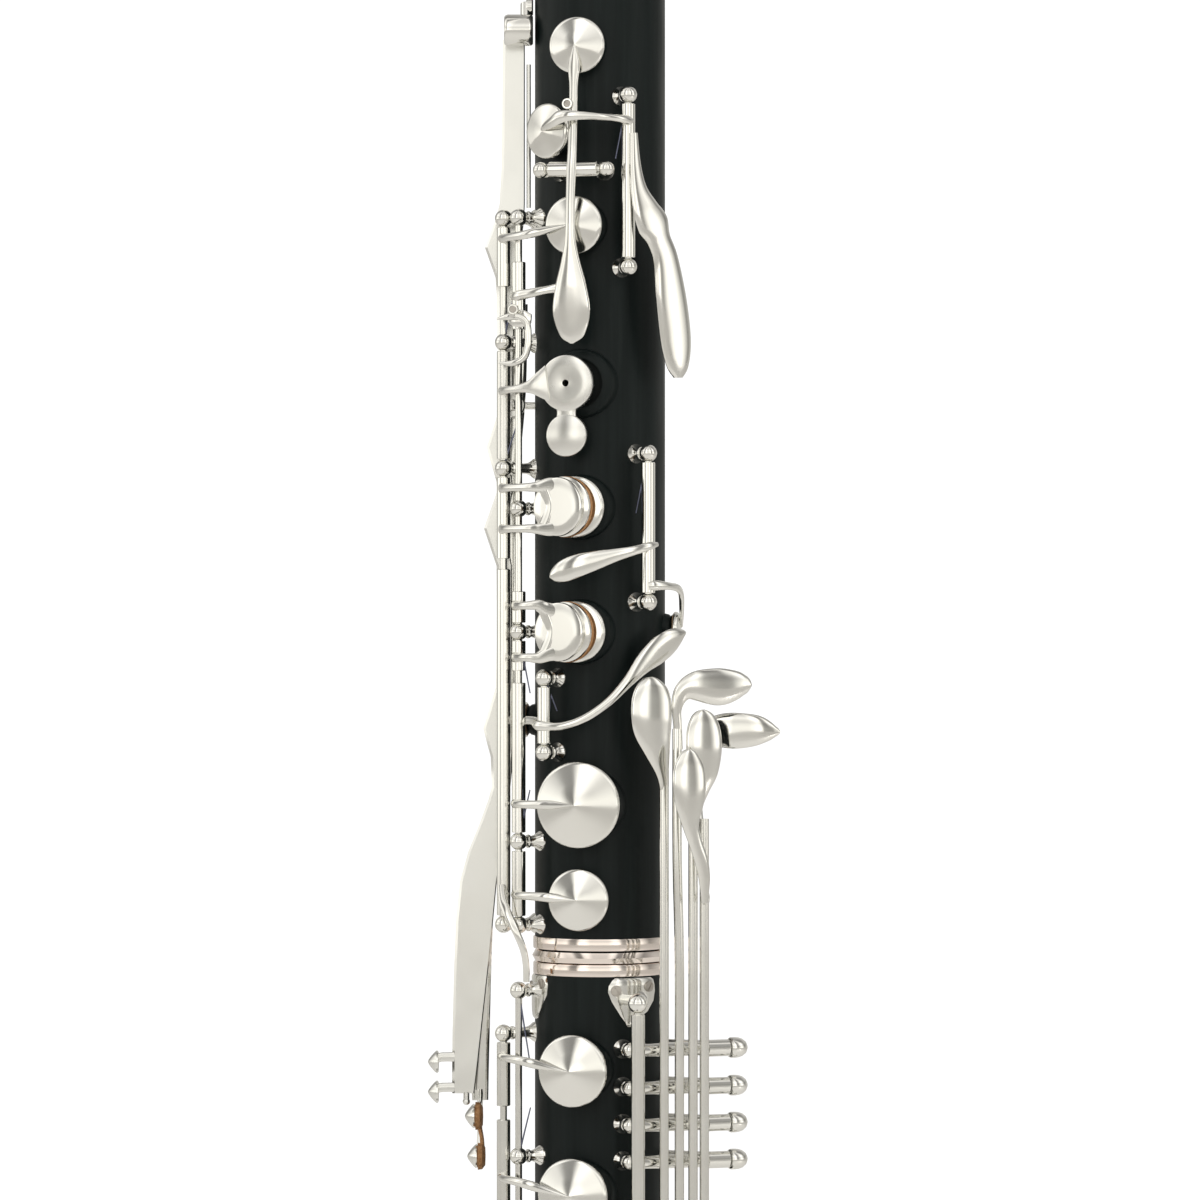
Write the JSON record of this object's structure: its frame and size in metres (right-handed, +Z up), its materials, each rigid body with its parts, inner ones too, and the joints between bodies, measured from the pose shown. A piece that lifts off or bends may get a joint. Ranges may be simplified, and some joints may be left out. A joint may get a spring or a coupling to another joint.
{
  "type": "bass clarinet",
  "caption": "Bass clarinet with matte black wooden joints, silver-plated keywork, curved metal neck, upturned metal bell and adjustable floor peg.",
  "frame": {"origin": "middle of the floor peg's flat tip", "axes": "+Z up along the joints, -Y out from the tone holes and bell, +Y towards the player and mouthpiece, +X to the right seen from the front"},
  "size_m": [0.1468, 0.3574, 1.2504],
  "materials": {
    "silver_plate": "polished silver plate",
    "blackwood": "satin oiled",
    "hard_rubber": "polished",
    "cane": "smooth dry",
    "peg_metal": "satin",
    "cork": "matte",
    "pad_skin": "soft",
    "blued_steel": "blued"
  },
  "bodies": {
    "instrument": {"upper_joint": "blackwood", "lower_joint": "blackwood", "upper_joint_ring": "silver_plate", "socket_ring": "silver_plate", "bell": "silver_plate", "a_key_posts": "silver_plate", "g_sharp_posts": "silver_plate", "outer_line_posts": "silver_plate", "inner_line_posts": "silver_plate", "sliver_posts": "silver_plate", "c_sharp_posts": "silver_plate", "register_posts": "silver_plate", "trill_posts": "silver_plate", "trill_guide": "silver_plate", "lower_outer_posts": "silver_plate", "lower_inner_posts": "silver_plate", "lower_right_posts": "silver_plate", "low_line_posts": "silver_plate", "lever_axle_1": "silver_plate", "lever_axle_2": "silver_plate", "lever_axle_3": "silver_plate", "lever_axle_4": "silver_plate", "thumb_rest": "silver_plate", "strap_ring": "silver_plate"},
    "neck_assembly": {"neck": "silver_plate", "mouthpiece": "hard_rubber", "reed": "cane", "ligature": "silver_plate"},
    "vent_key": {"vent_key": "silver_plate"},
    "linkage_key": {"linkage_key": "silver_plate"},
    "left_index_plate": {"left_index_plate": "silver_plate"},
    "left_middle_plate": {"left_middle_plate": "silver_plate"},
    "left_ring_plate": {"left_ring_plate": "silver_plate"},
    "large_vent_key": {"large_vent_key": "silver_plate"},
    "small_vent_key": {"small_vent_key": "silver_plate"},
    "bridge_key": {"bridge_key": "silver_plate"},
    "throat_g_sharp_key": {"throat_g_sharp_key": "silver_plate"},
    "sliver_key": {"sliver_key": "silver_plate"},
    "c_sharp_key": {"c_sharp_key": "silver_plate"},
    "right_vent_key": {"right_vent_key": "silver_plate"},
    "forked_vent_key": {"forked_vent_key": "silver_plate"},
    "right_index_plate": {"right_index_plate": "silver_plate"},
    "right_middle_plate": {"right_middle_plate": "silver_plate"},
    "right_ring_plate": {"right_ring_plate": "silver_plate"},
    "right_side_key": {"right_side_key": "silver_plate"},
    "low_note_key_1": {"low_note_key_1": "silver_plate"},
    "low_note_key_2": {"low_note_key_2": "silver_plate"},
    "low_note_key_3": {"low_note_key_3": "silver_plate"},
    "throat_a_key": {"throat_a_key": "silver_plate"},
    "register_key": {"register_key": "silver_plate"},
    "trill_lever_long": {"trill_lever_long": "silver_plate"},
    "trill_lever_short": {"trill_lever_short": "silver_plate"},
    "left_little_lever_1": {"left_little_lever_1": "silver_plate"},
    "left_little_lever_2": {"left_little_lever_2": "silver_plate"},
    "left_little_lever_3": {"left_little_lever_3": "silver_plate"},
    "left_little_lever_4": {"left_little_lever_4": "silver_plate"},
    "ligature_screw_low": {"ligature_screw_low": "silver_plate"},
    "ligature_screw_high": {"ligature_screw_high": "silver_plate"},
    "floor_peg": {"floor_peg": "peg_metal"},
    "peg_screw": {"peg_screw": "silver_plate"}
  },
  "joints": [
    {"name": "vent_turn", "type": "hinge", "parent": "instrument", "child": "vent_key", "pos_m": [-0.02459, 0.01163, 0.972], "axis": [0, 0, 1], "range_deg": [-4.4, 0], "stiffness_Nm_per_rad": 0.02, "springref_deg": 17.19},
    {"name": "linkage_turn", "type": "hinge", "parent": "instrument", "child": "linkage_key", "pos_m": [-0.01932, 0.0096, 0.961], "axis": [0, 0, 1], "range_deg": [0, 2.2], "stiffness_Nm_per_rad": 0.02, "springref_deg": -17.19},
    {"name": "left_index_turn", "type": "hinge", "parent": "instrument", "child": "left_index_plate", "pos_m": [-0.02459, 0.01163, 0.929], "axis": [0, 0, 1], "range_deg": [0, 4.5], "stiffness_Nm_per_rad": 0.02, "springref_deg": -17.19},
    {"name": "left_middle_turn", "type": "hinge", "parent": "instrument", "child": "left_middle_plate", "pos_m": [-0.02459, 0.01163, 0.8998], "axis": [0, 0, 1], "range_deg": [0, 4.5], "stiffness_Nm_per_rad": 0.02, "springref_deg": -17.19},
    {"name": "left_ring_turn", "type": "hinge", "parent": "instrument", "child": "left_ring_plate", "pos_m": [-0.01932, 0.0096, 0.8638], "axis": [0, 0, 1], "range_deg": [0, 4.5], "stiffness_Nm_per_rad": 0.02, "springref_deg": -17.19},
    {"name": "large_vent_turn", "type": "hinge", "parent": "instrument", "child": "large_vent_key", "pos_m": [-0.01932, 0.0096, 0.828], "axis": [0, 0, 1], "range_deg": [0, 4.5], "stiffness_Nm_per_rad": 0.02, "springref_deg": -17.19},
    {"name": "small_vent_turn", "type": "hinge", "parent": "instrument", "child": "small_vent_key", "pos_m": [-0.01932, 0.0096, 0.791], "axis": [0, 0, 1], "range_deg": [-6, 0], "stiffness_Nm_per_rad": 0.02, "springref_deg": 17.19},
    {"name": "bridge_turn", "type": "hinge", "parent": "instrument", "child": "bridge_key", "pos_m": [-0.02459, 0.01163, 0.83], "axis": [0, 0, 1], "range_deg": [0, 3.6], "stiffness_Nm_per_rad": 0.02, "springref_deg": -17.19},
    {"name": "g_sharp_turn", "type": "hinge", "parent": "instrument", "child": "throat_g_sharp_key", "pos_m": [0.01469, 0.00677, 0.99], "axis": [0, 0, 1], "range_deg": [0, 6], "stiffness_Nm_per_rad": 0.02, "springref_deg": -17.19},
    {"name": "sliver_turn", "type": "hinge", "parent": "instrument", "child": "sliver_key", "pos_m": [0.01953, 0.01061, 0.893], "axis": [0, 0, 1], "range_deg": [-5, 0], "stiffness_Nm_per_rad": 0.02, "springref_deg": 17.19},
    {"name": "c_sharp_turn", "type": "hinge", "parent": "instrument", "child": "c_sharp_key", "pos_m": [-0.00977, 0.00399, 0.84], "axis": [0, 0, 1], "range_deg": [0, 4], "stiffness_Nm_per_rad": 0.02, "springref_deg": -17.19},
    {"name": "right_vent_turn", "type": "hinge", "parent": "instrument", "child": "right_vent_key", "pos_m": [-0.02459, 0.01163, 0.735], "axis": [0, 0, 1], "range_deg": [0, 4.5], "stiffness_Nm_per_rad": 0.02, "springref_deg": -17.19},
    {"name": "forked_vent_turn", "type": "hinge", "parent": "instrument", "child": "forked_vent_key", "pos_m": [-0.02459, 0.01163, 0.706], "axis": [0, 0, 1], "range_deg": [0, 4.5], "stiffness_Nm_per_rad": 0.02, "springref_deg": -17.19},
    {"name": "right_index_turn", "type": "hinge", "parent": "instrument", "child": "right_index_plate", "pos_m": [-0.01932, 0.0096, 0.664], "axis": [0, 0, 1], "range_deg": [0, 4.5], "stiffness_Nm_per_rad": 0.02, "springref_deg": -17.19},
    {"name": "right_middle_turn", "type": "hinge", "parent": "instrument", "child": "right_middle_plate", "pos_m": [-0.01932, 0.0096, 0.627], "axis": [0, 0, 1], "range_deg": [0, 4.5], "stiffness_Nm_per_rad": 0.02, "springref_deg": -17.19},
    {"name": "right_ring_turn", "type": "hinge", "parent": "instrument", "child": "right_ring_plate", "pos_m": [-0.01932, 0.0096, 0.59], "axis": [0, 0, 1], "range_deg": [0, 4.5], "stiffness_Nm_per_rad": 0.02, "springref_deg": -17.19},
    {"name": "right_side_turn", "type": "hinge", "parent": "instrument", "child": "right_side_key", "pos_m": [0.01859, 0.00346, 0.68], "axis": [0, 0, 1], "range_deg": [-5, 0], "stiffness_Nm_per_rad": 0.02, "springref_deg": 17.19},
    {"name": "low_note_turn_1", "type": "hinge", "parent": "instrument", "child": "low_note_key_1", "pos_m": [0.02334, 0.01804, 0.527], "axis": [0, 0, 1], "range_deg": [-4.6, 0], "stiffness_Nm_per_rad": 0.02, "springref_deg": 17.19},
    {"name": "low_note_turn_2", "type": "hinge", "parent": "instrument", "child": "low_note_key_2", "pos_m": [0.02334, 0.01804, 0.46], "axis": [0, 0, 1], "range_deg": [-4.6, 0], "stiffness_Nm_per_rad": 0.02, "springref_deg": 17.19},
    {"name": "low_note_turn_3", "type": "hinge", "parent": "instrument", "child": "low_note_key_3", "pos_m": [0.02334, 0.01804, 0.39], "axis": [0, 0, 1], "range_deg": [-4.6, 0], "stiffness_Nm_per_rad": 0.02, "springref_deg": 17.19},
    {"name": "throat_a_turn", "type": "hinge", "parent": "instrument", "child": "throat_a_key", "pos_m": [0, 0.001, 0.9968], "axis": [1, 0, 0], "range_deg": [0, 5], "stiffness_Nm_per_rad": 0.02, "springref_deg": -17.19},
    {"name": "register_turn", "type": "hinge", "parent": "instrument", "child": "register_key", "pos_m": [0, 0.0515, 0.975], "axis": [1, 0, 0], "range_deg": [-5.5, 0], "stiffness_Nm_per_rad": 0.02, "springref_deg": 17.19},
    {"name": "trill_long_turn", "type": "hinge", "parent": "instrument", "child": "trill_lever_long", "pos_m": [-0.0257, 0.02385, 0.93], "axis": [0.2924, -0.9563, 0], "range_deg": [0, 0.8], "stiffness_Nm_per_rad": 0.06, "springref_deg": -17.19},
    {"name": "trill_short_turn", "type": "hinge", "parent": "instrument", "child": "trill_lever_short", "pos_m": [-0.0276, 0.03006, 0.93], "axis": [0.2924, -0.9563, 0], "range_deg": [0, 0.9], "stiffness_Nm_per_rad": 0.06, "springref_deg": -17.19},
    {"name": "little_lever_turn_1", "type": "hinge", "parent": "instrument", "child": "left_little_lever_1", "pos_m": [0.02493, 0.01386, 0.7434], "axis": [0.7986, 0.6018, 0], "range_deg": [-2, 0], "stiffness_Nm_per_rad": 0.03, "springref_deg": 17.19},
    {"name": "little_lever_turn_2", "type": "hinge", "parent": "instrument", "child": "left_little_lever_2", "pos_m": [0.02493, 0.01386, 0.7325], "axis": [0.7986, 0.6018, 0], "range_deg": [-2, 0], "stiffness_Nm_per_rad": 0.03, "springref_deg": 17.19},
    {"name": "little_lever_turn_3", "type": "hinge", "parent": "instrument", "child": "left_little_lever_3", "pos_m": [0.02493, 0.01386, 0.7218], "axis": [0.7986, 0.6018, 0], "range_deg": [-2, 0], "stiffness_Nm_per_rad": 0.03, "springref_deg": 17.19},
    {"name": "little_lever_turn_4", "type": "hinge", "parent": "instrument", "child": "left_little_lever_4", "pos_m": [0.02493, 0.01386, 0.7111], "axis": [0.7986, 0.6018, 0], "range_deg": [-2, 0], "stiffness_Nm_per_rad": 0.03, "springref_deg": 17.19},
    {"name": "neck_swivel", "type": "hinge", "parent": "instrument", "child": "neck_assembly", "pos_m": [0, 0.027, 1.115], "axis": [0, 0, 1], "range_deg": [-25, 25]},
    {"name": "ligature_turn_low", "type": "hinge", "parent": "neck_assembly", "child": "ligature_screw_low", "pos_m": [0, 0.1424, 1.21303], "axis": [1, 0, 0], "range_deg": [-180, 180]},
    {"name": "ligature_turn_high", "type": "hinge", "parent": "neck_assembly", "child": "ligature_screw_high", "pos_m": [0, 0.15609, 1.21594], "axis": [1, 0, 0], "range_deg": [-180, 180]},
    {"name": "peg_slide", "type": "slide", "parent": "instrument", "child": "floor_peg", "axis": [0, 0, 1], "range_m": [-0.03, 0]},
    {"name": "peg_screw_turn", "type": "hinge", "parent": "instrument", "child": "peg_screw", "pos_m": [0, 0.004, 0.112], "axis": [0, 1, 0], "range_deg": [-180, 180]}
  ],
  "couplings": [
    {"joint": "vent_turn", "follows": "register_turn", "ratio": 0.8},
    {"joint": "linkage_turn", "follows": "register_turn", "ratio": -0.4},
    {"joint": "large_vent_turn", "follows": "left_ring_turn", "ratio": 1},
    {"joint": "bridge_turn", "follows": "right_index_turn", "ratio": 0.8},
    {"joint": "right_vent_turn", "follows": "right_middle_turn", "ratio": 1},
    {"joint": "low_note_turn_1", "follows": "little_lever_turn_1", "ratio": 2.3},
    {"joint": "low_note_turn_2", "follows": "little_lever_turn_2", "ratio": 2.3},
    {"joint": "low_note_turn_3", "follows": "little_lever_turn_3", "ratio": 2.3}
  ]
}
